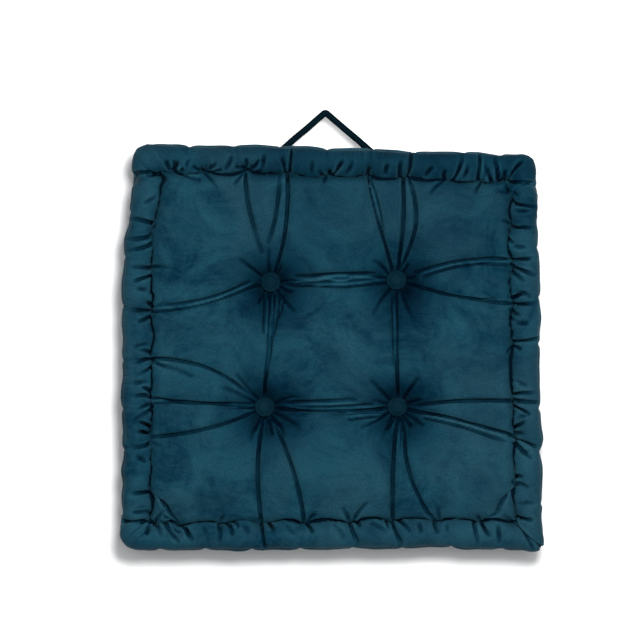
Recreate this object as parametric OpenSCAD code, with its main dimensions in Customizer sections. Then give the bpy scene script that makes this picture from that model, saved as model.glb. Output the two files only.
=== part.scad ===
// Tufted velvet floor cushion with rolled edges, covered buttons and a strap handle.
// It lies flat: +Z is up, X runs along the handle's side, and the handle stands out at +Y.
// The origin is the middle of the underside.

/* [Cushion] */
// Width across the edge rolls, along X
cushion_w = 418; // [400:1:600]
// Depth across the edge rolls, along Y
cushion_d = 404; // [400:1:600]
// Height over the edge rolls
edge_h = 80; // [80:1:110]
// Height of the top panel's middle above the edge rolls
crown_h = 4; // [1:0.5:8]

/* [Velvet and edge rolls] */
// Thickness of the velvet
velvet_t = 1.2; // [0.8:0.1:1.6]
// Diameter of the edge rolls
roll_d = 28; // [24:1:30]
// Edge stitches along each side that lies along X
stitches_along_x = 10; // [4:1:14]
// Edge stitches along each side that lies along Y
stitches_along_y = 9; // [4:1:14]

/* [Buttons] */
// Diameter of a covered button
button_d = 20; // [16:1:26]
// Height of a covered button
button_h = 8; // [6:0.5:10]
// Distance between the button columns
button_pitch_x = 130; // [110:1:150]
// Distance between the button rows
button_pitch_y = 127; // [110:1:150]
// How deep the tufting pulls a button below the panel
dimple_depth = 18; // [14:1:22]
// Radius of the hollow round a button
dimple_r = 21; // [18:1:30]

/* [Handle] */
// Width of the strap
strap_w = 18; // [12:1:18]
// Thickness of the folded strap
strap_t = 5; // [3:0.5:6]
// Space between the strap's feet on the boxing
handle_span = 104; // [90:1:140]
// How far the strap's peak stands out from the boxing
handle_reach = 50; // [44:1:60]
// Sideways place of the handle's middle
handle_x = -7; // [-20:1:20]
// Length of each end that is sewn down
tab_len = 26; // [20:1:32]
// How far the handle turns up or down before it lies on an edge roll, in degrees
handle_swing = 65; // [30:1:65]

/* [Hidden] */
$fn = 64;

SIDES = ["front", "right", "back", "left"];
FACES = ["top", "bottom"];

roll_r = roll_d / 2;
top_z = edge_h + crown_h;
wall_u = roll_r;                    // the boxing's outer face, measured in from the cushion's edge
handle_z = edge_h / 2;
boxing_y = cushion_d / 2 - wall_u;
hinge_y = cushion_d / 2;            // the strap folds where it comes out from between the rolls
fold_clear = 0.5;                   // space between the strap and its sewn ends
stitch_r = 0.6;
stitch_gap = 0.8;                   // half of the space between a roll's filling and the core
seam_r = 0.4;
seam_clear = 0.05;
core_clear = 0.2;                   // space between the velvet of a hollow and the core
dimple_floor_r = button_d / 2 + 1;
tab_t = strap_t / 2;
thread_t = 0.5;
thread_w = 0.8;

// Button parts, from the inside out
wire_r = 0.6;
loop_r = 2.6;                       // wire loop under the button, to the middle of the wire
strand_r = 0.6;
strand_gap = 1.6;                   // half of the distance between the twine's two strands
shell_t = 0.6;
cover_t = 1;
plate_t = 1;
hem_t = 0.8;                        // cover's edge, turned in under the shell
hem_inner_r = button_d / 2 - 3.5;
back_clear = 0.1;
plate_clear = 0.5;                  // the shell's dome leans in over the plate
pin_hole_r = loop_r + wire_r + 0.4;

// The buttons are tied by hand, so each sits a little off the even grid
BUTTONS = [
    ["1", -button_pitch_x / 2 + 3, button_pitch_y / 2 + 3],
    ["2", button_pitch_x / 2 - 1, button_pitch_y / 2 + 5],
    ["3", -button_pitch_x / 2 - 3, -button_pitch_y / 2 + 5],
    ["4", button_pitch_x / 2, -button_pitch_y / 2 + 5]
];

// ---------- Sections ----------
// A section is drawn as [u, w]: u runs in from the cushion's edge, and w runs in from the face.
// crown is how far the panel's middle stands above the roll on that face.

function roll_w(crown) = crown + roll_r;
function crown_of(face) = face == "top" ? crown_h : 0;

module at_roll(crown) translate([roll_r, roll_w(crown)]) children();

module ring(outer, inner) {
    difference() {
        circle(r = outer);
        circle(r = inner);
    }
}

// Where the seam between a panel and the boxing runs, half way up the roll's outer side
module at_seam(crown) {
    seam_reach = (roll_r - velvet_t / 2) / sqrt(2);
    at_roll(crown) translate([-seam_reach, -seam_reach]) children();
}

// The strip of velvet that the stitches hold down, between the roll and the panel's shoulder
module groove_floor(crown) {
    translate([roll_d - velvet_t, roll_w(crown)]) square([2 * velvet_t, velvet_t]);
}

module panel_section(crown, depth) {
    shoulder_r = roll_w(crown);
    difference() {
        union() {
            at_roll(crown) intersection() {
                ring(roll_r, roll_r - velvet_t);
                polygon(2 * roll_r * [[0, 0], [-1, -1], [1, -1], [1, 0]]);
            }
            groove_floor(crown);
            translate([roll_d + shoulder_r, shoulder_r]) intersection() {
                ring(shoulder_r, shoulder_r - velvet_t);
                translate([-shoulder_r, -shoulder_r]) square(shoulder_r);
            }
            translate([roll_d + shoulder_r, 0]) square([depth - roll_d - shoulder_r, velvet_t]);
        }
        at_seam(crown) circle(r = seam_r + seam_clear);
    }
}

// The boxing takes its w from the underside, and wraps the outer half of both rolls
module boxing_half_section() {
    difference() {
        union() {
            at_roll(0) intersection() {
                ring(roll_r, roll_r - velvet_t);
                polygon(2 * roll_r * [[0, 0], [-1, -1], [-1, 1], [0, 1]]);
            }
            translate([wall_u, roll_d - velvet_t]) square([velvet_t, edge_h / 2 - roll_d + velvet_t]);
        }
        at_seam(0) circle(r = seam_r + seam_clear);
    }
}

module boxing_section() {
    boxing_half_section();
    translate([0, edge_h]) mirror([0, 1]) boxing_half_section();
}

module roll_filling_section(crown) {
    at_roll(crown) intersection() {
        circle(r = roll_r - velvet_t);
        rotate(45) translate([-2 * roll_r, -2 * roll_r])
            square([2 * roll_r + roll_r / sqrt(2) - stitch_gap, 4 * roll_r]);
    }
}

// What the core gives up at a face: the roll beyond the stitches, the shoulder's curve and the velvet
module core_cutter(crown, depth) {
    shoulder_r = roll_w(crown);
    at_roll(crown) rotate(45) translate([-3 * roll_r, -2 * roll_r])
        square([3 * roll_r + roll_r / sqrt(2) + stitch_gap, 4 * roll_r]);
    difference() {
        square([roll_d + shoulder_r, shoulder_r]);
        translate([roll_d + shoulder_r, shoulder_r]) circle(r = shoulder_r - velvet_t);
    }
    groove_floor(crown);
    square([depth + 1, velvet_t]);
}

module core_section(depth) {
    difference() {
        translate([wall_u + velvet_t, 0]) square([depth - wall_u - velvet_t, top_z]);
        core_cutter(0, depth);
        translate([0, top_z]) mirror([0, 1]) core_cutter(crown_h, depth);
    }
}

// ---------- Placing ----------

function half_of(side) = (side % 2 == 0 ? cushion_d : cushion_w) / 2;
function length_of(side) = side % 2 == 0 ? cushion_w : cushion_d;

// The part of the plan that is nearer to this side than to the others
function mitre_plan(side) =
    let (half = half_of(side), end = length_of(side) / 2, t = min(half, end))
    concat([[-end, -half], [end, -half], [end - t, t - half]], end > t ? [[t - end, t - half]] : []);

// Runs a section along one side, and cuts it off at 45 degrees at both corners
module along_side(side) {
    rotate(90 * side) intersection() {
        translate([-length_of(side) / 2, -half_of(side), 0]) rotate([90, 0, 90])
            linear_extrude(length_of(side)) children();
        translate([0, 0, -1]) linear_extrude(top_z + 2) polygon(mitre_plan(side));
    }
}

// Draws for the underside what is then turned over for the top face
module on_face(face) {
    if (face == "top") translate([0, 0, top_z]) mirror([0, 0, 1]) children();
    else children();
}

function side_named(name) = search([name], SIDES)[0];

// ---------- Velvet casing ----------

module dimple_skin() {
    inner = dimple_depth + velvet_t;
    rotate_extrude() polygon([
        [pin_hole_r, dimple_depth], [dimple_floor_r, dimple_depth], [dimple_r, 0],
        [dimple_r, velvet_t], [dimple_floor_r, inner], [pin_hole_r, inner]
    ]);
}

module panel(face) {
    color("#1d4a5e") on_face(face) {
        difference() {
            for (side = [0:3]) along_side(side) panel_section(crown_of(face), half_of(side));
            for (b = BUTTONS) translate([b[1], b[2], -1]) cylinder(h = velvet_t + 2, r = dimple_r);
        }
        for (b = BUTTONS) translate([b[1], b[2], 0]) dimple_skin();
    }
}

module corner_threads(r) {
    in = wall_u + velvet_t / 2;
    for (x = [-1, 1], y = [-1, 1])
        translate([x * (cushion_w / 2 - in), y * (cushion_d / 2 - in), roll_d])
            cylinder(h = edge_h - 2 * roll_d, r = r);
}

module boxing(side) {
    color("#17414f") difference() {
        along_side(side) boxing_section();
        corner_threads(seam_r + seam_clear);
    }
}

// ---------- Threads ----------

module seam_thread(face) {
    color("#0d2530") on_face(face)
        for (side = [0:3]) along_side(side) at_seam(crown_of(face)) circle(r = seam_r);
}

module edge_stitch(crown) {
    past_velvet = 1.5;
    reach = roll_r * sqrt(2) + 2 * past_velvet;
    translate([0, roll_r * 1.5, roll_w(crown) + roll_r / 2]) rotate([45, 0, 0])
        cylinder(h = reach, r = stitch_r, center = true);
}

module edge_stitches(face) {
    color("#0d2530") on_face(face) for (side = [0:3]) {
        count = side % 2 == 0 ? stitches_along_x : stitches_along_y;
        run = length_of(side) - 2 * (roll_d + roll_r);
        rotate(90 * side) translate([0, -half_of(side), 0])
            for (i = [0:count - 1]) translate([run * (i / (count - 1) - 0.5), 0, 0])
                edge_stitch(crown_of(face));
    }
}

// ---------- Filling ----------

module dimple_cut() {
    drop = velvet_t + core_clear;
    rim_r = dimple_r + 2 * core_clear;
    floor_r = dimple_floor_r + 2 * core_clear;
    rotate_extrude() polygon([
        [0, -1], [rim_r, -1], [rim_r, drop], [floor_r, dimple_depth + drop], [0, dimple_depth + drop]
    ]);
}

module core_filling() {
    color("#f1efe8") difference() {
        for (side = [0:3]) along_side(side) core_section(half_of(side));
        for (b = BUTTONS) translate([b[1], b[2], 0]) {
            for (face = FACES) on_face(face) dimple_cut();
            translate([0, 0, -1]) cylinder(h = top_z + 2, r = pin_hole_r);
        }
    }
}

module roll_filling(face, side) {
    color("#f1efe8") on_face(face) along_side(side) roll_filling_section(crown_of(face));
}

// ---------- Buttons ----------
// A button is drawn with its back at z = 0 and its crown at +Z

// A dome with a short straight rim, in by some distance from the covered button's surface
module button_dome(in, base) {
    rim_slack = 0.8;
    cap_r = (pow(button_d / 2, 2) / button_h + button_h) / 2 + rim_slack;
    intersection() {
        translate([0, 0, button_h - cap_r]) sphere(r = cap_r - in);
        translate([0, 0, base]) cylinder(h = button_h, r = button_d / 2 - in);
    }
}

module button_cover() {
    color("#16404f") {
        difference() {
            button_dome(0, 0);
            button_dome(cover_t, -1);
        }
        difference() {
            cylinder(h = hem_t, r = button_d / 2 - cover_t);
            translate([0, 0, -1]) cylinder(h = hem_t + 2, r = hem_inner_r);
        }
    }
}

module button_shell() {
    color("#b9bcc0") difference() {
        button_dome(cover_t, hem_t);
        button_dome(cover_t + shell_t, 0);
    }
}

module button_back() {
    color("#9a9da1") {
        translate([0, 0, hem_t]) cylinder(h = plate_t, r = button_d / 2 - cover_t - shell_t - plate_clear);
        cylinder(h = hem_t + plate_t, r = hem_inner_r - back_clear);
        translate([0, 0, -loop_r + wire_r / 2]) rotate([90, 0, 0])
            rotate_extrude() translate([loop_r, 0]) circle(r = wire_r);
    }
}

// Sets a button's back on the floor of its hollow, crown outwards
module at_button(face, b) {
    translate([b[1], b[2], 0]) on_face(face) translate([0, 0, dimple_depth]) mirror([0, 0, 1]) children();
}

// Two strands that run through both wire loops and are joined round them
module twine(b) {
    wire_drop = 2 * loop_r - wire_r / 2;                 // from a button's back to its loop's far wire
    low = dimple_depth + wire_drop;
    high = top_z - dimple_depth - wire_drop;
    color("#5a6b70") translate([b[1], b[2], 0]) {
        for (y = [-1, 1]) translate([0, y * strand_gap, low]) cylinder(h = high - low, r = strand_r);
        translate([0, 0, high]) twine_bend();
        translate([0, 0, low]) mirror([0, 0, 1]) twine_bend();
    }
}

module twine_bend() {
    intersection() {
        rotate([0, 90, 0]) rotate_extrude() translate([strand_gap, 0]) circle(r = strand_r);
        translate([-5, -5, 0]) cube([10, 10, 10]);
    }
}

// ---------- Handle ----------

inner_rise = handle_reach - strap_t;
leg_angle = atan2(inner_rise, handle_span / 2);
foot_w = strap_t / sin(leg_angle);  // what a foot takes up along the boxing

// Mirrors for the left side, where side is -1; the right side is 1
module on_side(side) mirror([side < 0 ? 1 : 0, 0, 0]) children();

// The peaked strap from above: sharp inside and round outside, with its feet on y = 0
module strap_plan() {
    foot = handle_span / 2;
    peak = [for (t = [1:-0.25:-1]) [0, inner_rise] + strap_t * [sin(t * leg_angle), cos(t * leg_angle)]];
    polygon(concat(
        [[foot, 0], [foot + foot_w, 0]], peak, [[-foot - foot_w, 0], [-foot, 0], [0, inner_rise]]
    ));
}

// What turns, seen along the fold line: the strap's full width, with a round end on that line
module turning_profile(grow) {
    square_h = strap_w + 2 * grow;
    circle(d = square_h);
    translate([0, -square_h / 2]) square([2 * handle_reach, square_h]);
}

// Runs a profile of y and z, measured from the fold line, along X
module along_fold() {
    translate([0, hinge_y - boxing_y, 0]) rotate([90, 0, 90])
        linear_extrude(2 * handle_span, center = true) children();
}

// The middle of the handle's feet on the boxing
module at_handle() translate([handle_x, boxing_y, handle_z]) children();

module handle_strap() {
    color("#0c2a36") at_handle() intersection() {
        linear_extrude(2 * strap_w, center = true) strap_plan();
        along_fold() turning_profile(0);
    }
}

// One end of the strap: its foot, up to the fold line, and the tab that is sewn flat on the boxing
module handle_end(side) {
    color("#0c2a36") at_handle() on_side(side) {
        intersection() {
            linear_extrude(strap_w, center = true) strap_plan();
            along_fold() difference() {
                translate([boxing_y - hinge_y, -strap_w / 2]) square([hinge_y - boxing_y, strap_w]);
                for (turn = [-handle_swing, 0, handle_swing]) rotate(turn) turning_profile(fold_clear);
            }
            translate([0, -1, -strap_w]) cube([handle_span, handle_span, 2 * strap_w]);
        }
        translate([handle_span / 2 + foot_w / 2, 0, -strap_w / 2]) cube([tab_len, tab_t, strap_w]);
    }
}

// A sewn box with its two diagonals
module handle_stitching(side) {
    edge = 3;
    w = tab_len - 2 * edge;
    h = strap_w - 2 * edge;
    color("#1f5568") at_handle() on_side(side)
        translate([(handle_span + foot_w + tab_len) / 2, tab_t + thread_t, 0]) rotate([90, 0, 0])
            linear_extrude(thread_t) {
                difference() {
                    square([w, h], center = true);
                    square([w - 2 * thread_w, h - 2 * thread_w], center = true);
                }
                for (lean = [-1, 1]) rotate(lean * atan2(h, w))
                    square([norm([w, h]) - 2 * thread_w, thread_w], center = true);
            }
}

// ---------- Nodes ----------

panel("top");  // top_panel
panel("bottom");  // bottom_panel
for (name = SIDES) boxing(side_named(name));
seam_thread("top");  // top_seam_thread
seam_thread("bottom");  // bottom_seam_thread
color("#0d2530") corner_threads(seam_r);  // corner_seam_threads
edge_stitches("top");  // top_edge_stitches
edge_stitches("bottom");  // bottom_edge_stitches
core_filling();
for (face = FACES, name = SIDES)
    roll_filling(face, side_named(name));
for (face = FACES, b = BUTTONS) {
    at_button(face, b) button_cover();
    at_button(face, b) button_shell();
    at_button(face, b) button_back();
}
for (b = BUTTONS) twine(b);
handle_strap();
handle_end(-1);  // handle_end_left
handle_end(1);  // handle_end_right
handle_stitching(-1);  // handle_stitching_left
handle_stitching(1);  // handle_stitching_right
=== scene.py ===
"""A tufted velvet floor cushion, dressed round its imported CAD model."""
import math

import bpy
import numpy as np
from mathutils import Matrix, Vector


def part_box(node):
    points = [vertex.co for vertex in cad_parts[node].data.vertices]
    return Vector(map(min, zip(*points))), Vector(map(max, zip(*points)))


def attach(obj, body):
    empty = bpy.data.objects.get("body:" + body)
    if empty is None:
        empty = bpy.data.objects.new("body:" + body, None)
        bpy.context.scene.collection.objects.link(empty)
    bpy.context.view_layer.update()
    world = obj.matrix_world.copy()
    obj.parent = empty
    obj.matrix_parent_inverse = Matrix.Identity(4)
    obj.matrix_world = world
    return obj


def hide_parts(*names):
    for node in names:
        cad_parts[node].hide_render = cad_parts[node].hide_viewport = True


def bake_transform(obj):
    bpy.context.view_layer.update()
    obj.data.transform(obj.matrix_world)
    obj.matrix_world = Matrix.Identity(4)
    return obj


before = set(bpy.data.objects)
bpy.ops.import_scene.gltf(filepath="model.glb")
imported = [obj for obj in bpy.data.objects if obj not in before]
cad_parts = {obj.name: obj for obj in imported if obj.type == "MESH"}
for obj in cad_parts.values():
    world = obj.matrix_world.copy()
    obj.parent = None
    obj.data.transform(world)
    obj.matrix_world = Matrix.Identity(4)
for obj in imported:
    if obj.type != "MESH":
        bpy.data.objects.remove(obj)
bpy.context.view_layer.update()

# ---------- Sizes, in millimetres and in the frame's axes ----------

MM = 1000.0
HALF_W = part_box("boxing_right")[1][0] * MM
HALF_D = -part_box("boxing_front")[0][1] * MM
EDGE_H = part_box("boxing_back")[1][2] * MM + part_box("boxing_back")[0][2] * MM
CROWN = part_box("top_panel")[1][2] * MM - EDGE_H

ROLL_R = 14.2              # edge rolls, swollen a little past the solid ones
SEAM_ANGLE = 160.0         # where the panel meets the boxing, on the roll's outer side
UNDER_ANGLE = 268.0        # where the roll's underside meets the boxing's wall
GROOVE_ANGLE = 20.0        # where the stitches draw the velvet in, on its inner side
GROOVE_GAP = 1.0
GROOVE_LINE = 2.6          # how far its line is pressed in
SHOULDER_W = 16.0          # the panel's steep fall into the groove
SHOULDER_END = 28.0        # and how far short of upright it ends there, in degrees
CROWN_W = 62.0             # and its slow rise beyond it
CROWN_H = 7.0
FLAT_DEPTH = 70.0          # beyond this the panel is drawn evenly to its middle
CORNER_R = 17.0
DIMPLES = ((10.0, 8.5, 1.2), (9.0, 33.0, 1.2))   # a button's hollow: depth, spread and steepness, summed
VALLEY_SPREAD = 19.0
BUTTON_R = 9.5
RIDGE_AT = 3.4             # from a fold's line to the ridges beside it
DRAWN = 0.55               # the share of a fold's depth that the cloth itself is drawn in
ARC_STEP = 3.0             # degrees
FILLING_GAP = 3.2          # between the velvet and the filling
SCALLOP = 3.2              # how far the groove strays from its line between two stitches
FRONT_SCALLOP = 5.0
GROOVE_RISE = 3.0          # and how far it rises there
TIED_DOWN = 2.4            # how far a stitch draws the roll down
WALL_PINCH = 2.0           # and how far it draws the wall in

# Grid lines of a panel, rows of the boxing, and steps, at each level of detail
LEVELS = ((76, 15, 70), (151, 29, 60), (301, 57, 45))

# Where the edge stitches draw the velvet in, along each side; they are sewn by hand and uneven
STITCHES = {
    "back": (-168, -130, -86, -45, -5, 34, 70, 114, 150, 176),
    "right": (158, 123, 87, 44, 4, -52, -88, -134, -169),
    "front": (178, 145, 103, 60, 18, -28, -70, -110, -149, -177),
    "left": (-171, -141, -87, -52, -10, 37, 79, 117, 169),
}

BUTTONS = []
for number in "1234":
    low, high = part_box("top_button_cover_" + number)
    BUTTONS.append(((low[0] + high[0]) / 2 * MM, (low[1] + high[1]) / 2 * MM))


# ---------- The casing's sections: distance along the velvet to (in from the edge, height) ----------

def arc(centre, radii, start, end):
    """Points on an ellipse's arc, with its angles in degrees from the inward direction."""
    count = max(2, int(abs(end - start) / ARC_STEP))
    angles = np.radians(np.linspace(start, end, count + 1))
    return [(centre[0] + radii[0] * math.cos(t), centre[1] + radii[1] * math.sin(t)) for t in angles]


def lengths(line):
    """How far along its line each point is."""
    return np.concatenate([[0], np.cumsum(np.linalg.norm(line[1:] - line[:-1], axis=1))])


def places_at(line, steps, at):
    """The points, or other values, at some lengths along a line."""
    return np.stack([np.interp(at, steps, line[:, k]) for k in range(line.shape[1])], axis=-1)


def measured(points):
    """How far along its line each point is, and the points, with doubled ones left out."""
    points = np.array(points)
    steps = np.hypot(*(points[1:] - points[:-1]).T)
    points = points[np.concatenate([[True], steps > 1e-6])]
    steps = np.hypot(*(points[1:] - points[:-1]).T)
    return np.concatenate([[0], np.cumsum(steps)]), points


def panel_section(crown):
    """From the seam over the roll, down into the groove and up to the panel's flat middle."""
    line = arc((ROLL_R, EDGE_H - ROLL_R), (ROLL_R, ROLL_R), SEAM_ANGLE, GROOVE_ANGLE)
    u, z = line[-1]
    top = EDGE_H + crown
    short = math.radians(SHOULDER_END)
    height = (top - CROWN_H - z) / (1 - math.sin(short))
    centre = (u + GROOVE_GAP + SHOULDER_W * math.cos(short), top - CROWN_H - height)
    line += arc(centre, (SHOULDER_W, height), 180 - SHOULDER_END, 90)
    u = line[-1][0]
    line += [(u + CROWN_W * t, top - CROWN_H * (1 - t) ** 2) for t in np.linspace(0, 1, 20)]
    line.append((max(HALF_W, HALF_D), top))
    return measured(line)


def boxing_section():
    """From the top seam round the roll's outside, down the wall, and round the lower roll."""
    line = arc((ROLL_R, EDGE_H - ROLL_R), (ROLL_R, ROLL_R), SEAM_ANGLE, UNDER_ANGLE)
    lower = [(u, EDGE_H - z) for u, z in line]
    return measured(line + lower[::-1])


def section_at(section, distance):
    """In from the edge, and height, at some distance along a section."""
    along, points = section
    return np.interp(distance, along, points[:, 0]), np.interp(distance, along, points[:, 1])


PANEL = panel_section(CROWN)
GROOVE_AT = math.radians(SEAM_ANGLE - GROOVE_ANGLE) * ROLL_R
GROOVE_U = section_at(PANEL, GROOVE_AT)[0]
UNDER_AT = math.radians(UNDER_ANGLE - SEAM_ANGLE) * ROLL_R
REACH = PANEL[0][-1] - abs(HALF_W - HALF_D) / 2      # a panel's half size, laid flat


def bell(distance, width):
    """1 at no distance, falling smoothly to nothing beyond the width."""
    return np.exp(-(distance / width) ** 2)


def eased(value, start, end):
    """From 0 at start to 1 at end, with soft ends."""
    t = np.clip((value - start) / (end - start), 0, 1)
    return t * t * (3 - 2 * t)


def phase(places, along):
    """0 at each stitch, 1 half way to the next, and in between past the last ones."""
    places = np.sort(np.array(places, float))
    k = np.clip(np.searchsorted(places, along) - 1, 0, len(places) - 2)
    t = (along - places[k]) / (places[k + 1] - places[k])
    outside = (along < places[0]) | (along > places[-1])
    return np.where(outside, 0.7, np.sin(np.pi * np.clip(t, 0, 1)))


def stitch_phase(p, q):
    """The phase of every point of the flat velvet, where p and q run from -1 to 1."""
    m = np.maximum(np.maximum(np.abs(p), np.abs(q)), 1e-9)
    x, y = p / m * (HALF_W - GROOVE_U), q / m * (HALF_D - GROOVE_U)
    along_x = np.where(q > 0, phase(STITCHES["back"], x), phase(STITCHES["front"], x))
    along_y = np.where(p > 0, phase(STITCHES["right"], y), phase(STITCHES["left"], y))
    return np.where(np.abs(q) >= np.abs(p), along_x, along_y)


def round_corners(x, y, half_x, half_y, radius):
    """Pulls what lies in a square corner on to a round one."""
    dx, dy = np.abs(x) - (half_x - radius), np.abs(y) - (half_y - radius)
    corner = (dx > 0) & (dy > 0)
    scale = np.where(corner, np.maximum(dx, dy) / np.maximum(np.hypot(dx, dy), 1e-6), 1.0)
    new_x = np.where(corner, half_x - radius + dx * scale, np.abs(x))
    new_y = np.where(corner, half_y - radius + dy * scale, np.abs(y))
    return np.sign(x) * new_x, np.sign(y) * new_y


def ring_sizes(u, m):
    """Half sizes of the ring that is u in from the edge; inside FLAT_DEPTH they fall evenly to nothing."""
    inside = np.minimum(m / (1 - FLAT_DEPTH / REACH), 1.0)
    flat = np.minimum(u, section_at(PANEL, FLAT_DEPTH)[0])
    return (HALF_W - flat) * inside, (HALF_D - flat) * inside


def flat_grid(n):
    """The panel's velvet laid flat: two arrays of places on it, in millimetres from its middle."""
    line = np.linspace(-REACH, REACH, n)
    return np.meshgrid(line, line, indexing="ij")


def flat_distance(n):
    """How far in from the seam every point of the flat velvet is."""
    p, q = flat_grid(n)
    return REACH - np.maximum(np.abs(p), np.abs(q))


def flat_edge(n):
    """The edge of the flat velvet as one loop, from -1 to 1 each way."""
    return border(np.stack(flat_grid(n), axis=-1)) / REACH


def valleys():
    """The broad hollows that the pull of the buttons leaves, with their depths."""
    b1, b2, b3, b4 = (np.array(b) for b in BUTTONS)
    x, y = HALF_W - GROOVE_U, HALF_D - GROOVE_U
    lines = [(b1, b2, 2.4), (b3, b4, 2.4), (b1, b3, 1.2), (b2, b4, 1.2)]
    for button, edge, depth in (
        (b1, (STITCHES["back"][3], y), 1.4), (b2, (STITCHES["back"][5], y), 1.4),
        (b1, (-x, STITCHES["left"][5]), 1.6), (b2, (x, STITCHES["right"][2]), 1.6),
        (b2, (x, STITCHES["right"][3]), 1.2),
        (b3, (-x, STITCHES["left"][3]), 2.0), (b4, (x, STITCHES["right"][6]), 2.0),
        (b3, (STITCHES["front"][6], -y), 1.2), (b4, (STITCHES["front"][3], -y), 1.2),
    ):
        lines.append((button, np.array(edge, float), depth))
    return lines


def base_panel(n, crown):
    """The panel as the filling alone would shape it, with no folds."""
    p, q = flat_grid(n)
    distance = flat_distance(n)
    m = np.maximum(1 - distance / REACH, 1e-9)
    u, z = section_at(panel_section(crown), distance)
    loose = stitch_phase(p / REACH, q / REACH)
    scallop = np.where((q < 0) & (np.abs(q) >= np.abs(p)), FRONT_SCALLOP, SCALLOP)
    u = u + scallop * (loose - 0.45) * bell(distance - GROOVE_AT, 8)
    z = z + GROOVE_RISE * loose * bell(distance - GROOVE_AT, 7)
    z = z - TIED_DOWN * (1 - loose) ** 2 * bell(distance - GROOVE_AT * 0.6, 13)
    half_x, half_y = ring_sizes(u, m)
    x, y = p / REACH / m * half_x, q / REACH / m * half_y
    radius = CORNER_R * np.clip(1.15 - distance / GROOVE_AT, 0.15, 1)
    x, y = round_corners(x, y, half_x, half_y, np.minimum(radius, half_x))
    valley = np.zeros_like(z)
    for start, end, depth in valleys():
        run = end - start
        t = np.clip(((x - start[0]) * run[0] + (y - start[1]) * run[1]) / (run @ run), 0, 1)
        away = np.hypot(x - start[0] - t * run[0], y - start[1] - t * run[1])
        valley = np.maximum(valley, depth * bell(away, VALLEY_SPREAD))
    for bx, by in BUTTONS:
        valley = valley * (1 - np.exp(-(np.hypot(x - bx, y - by) / 17) ** 4))
    z = z - valley
    for bx, by in BUTTONS:
        r = np.maximum(np.hypot(x - bx, y - by) - BUTTON_R, 0)
        hollow = sum(depth * np.exp(-(r / spread) ** steepness) for depth, spread, steepness in DIMPLES)
        z = z - hollow
    return np.stack([x, y, z], axis=-1)


def base_boxing(n, rows):
    """The boxing as the filling alone would shape it: first axis round the cushion, second axis down."""
    section = boxing_section()
    distance = np.linspace(0, section[0][-1], rows)
    u, z = section_at(section, distance)
    turn = flat_edge(n)
    loose = stitch_phase(turn[:, :1], turn[:, 1:])
    u = u + WALL_PINCH * (1 - loose) ** 2 * bell(np.minimum(distance, distance[-1] - distance) - UNDER_AT / 2, 14)
    half_x, half_y = HALF_W - u, HALF_D - u
    x, y = round_corners(turn[:, :1] * half_x, turn[:, 1:] * half_y, half_x, half_y, CORNER_R)
    return np.stack([x, y, np.broadcast_to(z, x.shape)], axis=-1)


def flat_place(x, y):
    """Where a point of the panel's middle lies on the velvet laid flat."""
    flat_u = section_at(PANEL, FLAT_DEPTH)[0]
    inner = REACH - FLAT_DEPTH
    return np.array([x * inner / (HALF_W - flat_u), y * inner / (HALF_D - flat_u)])


def stitch_place(side, along, past=0.0):
    """Where an edge stitch lies on the velvet laid flat, or a point past it towards the seam."""
    groove = REACH - GROOVE_AT
    out = groove + past
    if side in ("back", "front"):
        along = along * groove / (HALF_W - GROOVE_U)
        return np.array([along, out if side == "back" else -out])
    along = along * groove / (HALF_D - GROOVE_U)
    return np.array([out if side == "right" else -out, along])


def grid_lines(n, side, along):
    """The grid lines that cross nearest to an edge stitch."""
    step = 2 * REACH / (n - 1)
    return tuple(round((k + REACH) / step) for k in stitch_place(side, along))


# ---------- Cloth ----------

def unit(vectors):
    """Vectors made one long."""
    return vectors / np.maximum(np.linalg.norm(vectors, axis=-1, keepdims=True), 1e-9)


def grid_normals(grid):
    """The direction that a grid of points faces, at each of them."""
    across, along = np.empty_like(grid), np.empty_like(grid)
    across[1:-1] = grid[2:] - grid[:-2]
    across[0], across[-1] = grid[1] - grid[0], grid[-1] - grid[-2]
    along[:, 1:-1] = grid[:, 2:] - grid[:, :-2]
    along[:, 0], along[:, -1] = grid[:, 1] - grid[:, 0], grid[:, -1] - grid[:, -2]
    return unit(np.cross(across, along))


def border(grid):
    """A panel grid's edge as one closed loop: along the front, up the right, back, and down the left."""
    return np.concatenate([grid[:-1, 0], grid[-1, :-1], grid[:0:-1, -1], grid[0, :0:-1], grid[:1, 0]])


def set_border(grid, loop):
    """Puts a loop back as a panel grid's edge."""
    n = grid.shape[0] - 1
    grid[:-1, 0], grid[-1, :-1] = loop[:n], loop[n:2 * n]
    grid[:0:-1, -1], grid[0, :0:-1] = loop[2 * n:3 * n], loop[3 * n:4 * n]


def doubled(grid):
    """The grid with a new line between every two along its first axis."""
    out = np.empty((2 * grid.shape[0] - 1,) + grid.shape[1:], grid.dtype)
    out[::2] = grid
    out[1::2] = (grid[1:] + grid[:-1]) / 2
    return out


def finer(grid):
    """The same along both axes."""
    return doubled(doubled(grid).swapaxes(0, 1)).swapaxes(0, 1)


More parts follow.
